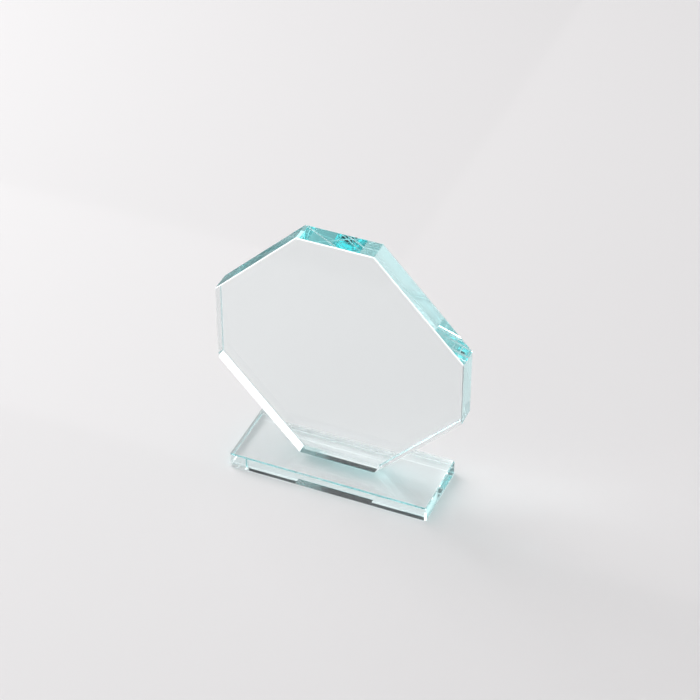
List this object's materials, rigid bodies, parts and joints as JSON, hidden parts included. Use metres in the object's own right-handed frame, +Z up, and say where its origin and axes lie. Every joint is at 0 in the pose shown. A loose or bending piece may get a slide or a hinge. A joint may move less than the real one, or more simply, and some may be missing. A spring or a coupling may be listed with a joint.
{
  "type": "crystal award",
  "caption": "Upright octagonal clear glass plate bonded by its bottom edge to a flat bevelled glass base, to engrave and present as an award.",
  "frame": {"origin": "middle of the base's underside, where the award stands on a table", "axes": "+Z up, -Y the front face of the upright plate, +X to the right seen from the front"},
  "size_m": [0.164, 0.05, 0.1787],
  "materials": {
    "plate_glass": "clear float glass, both faces clear, the eight edges and the bevels ground and polished",
    "clear_bond": "clear ultraviolet-cured adhesive, no bubbles",
    "base_glass": "clear float glass, faces clear, edges and bevels ground and polished"
  },
  "bodies": {
    "root": {"octagon_plate": "plate_glass", "bond_film": "clear_bond", "base_plate": "base_glass"}
  },
  "joints": []
}
